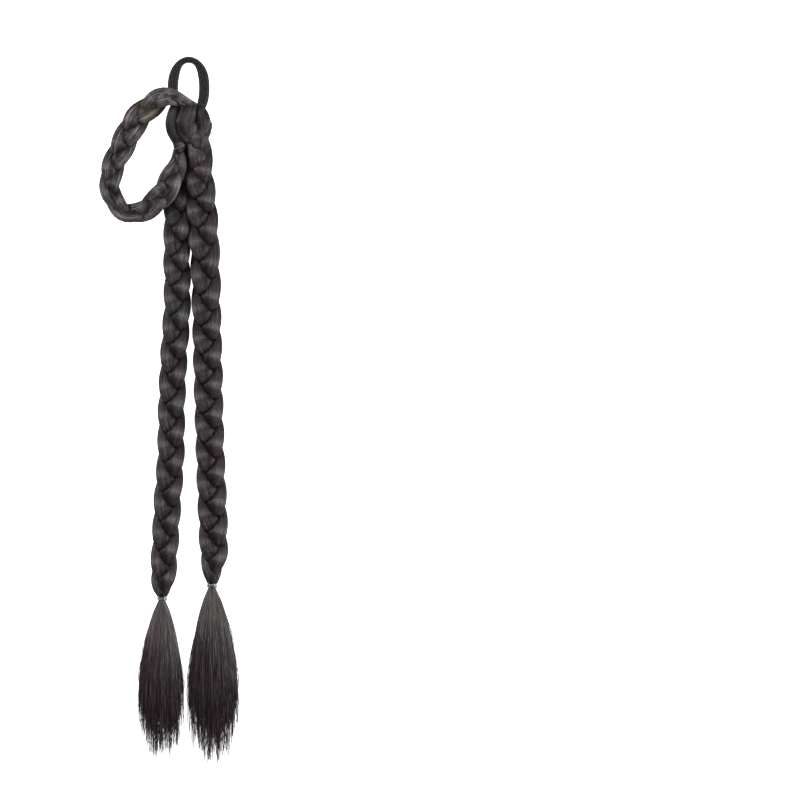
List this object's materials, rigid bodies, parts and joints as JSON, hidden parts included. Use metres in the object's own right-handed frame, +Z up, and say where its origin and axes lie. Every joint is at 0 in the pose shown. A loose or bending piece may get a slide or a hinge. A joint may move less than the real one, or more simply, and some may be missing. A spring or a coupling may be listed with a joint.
{
  "type": "pigtail wig",
  "caption": "Braided hairpiece, lying flat: long braids that end in loose tassels and a short looped braid, folded over a covered elastic ring that goes round a ponytail.",
  "frame": {"origin": "middle of the lower side of its box, on the surface that it lies on", "axes": "+Y along the braids towards the elastic ring, +Z up from the surface, +X to the right seen from above with the ring at the far end"},
  "size_m": [0.1274, 0.6506, 0.0224],
  "materials": {
    "hair": "satin",
    "knit": "matte",
    "thread": "matte",
    "clear_band": "satin"
  },
  "bodies": {
    "root": {"elastic_ring": "knit", "crown_wrap": "hair", "left_section": "hair", "main_braid_lock_1": "hair", "main_braid_lock_2": "hair", "main_braid_lock_3": "hair", "second_braid_lock_1": "hair", "second_braid_lock_2": "hair", "second_braid_lock_3": "hair", "loop_braid_lock_1": "hair", "loop_braid_lock_2": "hair", "loop_braid_lock_3": "hair", "main_tassel": "hair", "second_tassel": "hair", "loop_tie": "thread", "main_tie": "clear_band", "second_tie": "clear_band"}
  },
  "joints": []
}
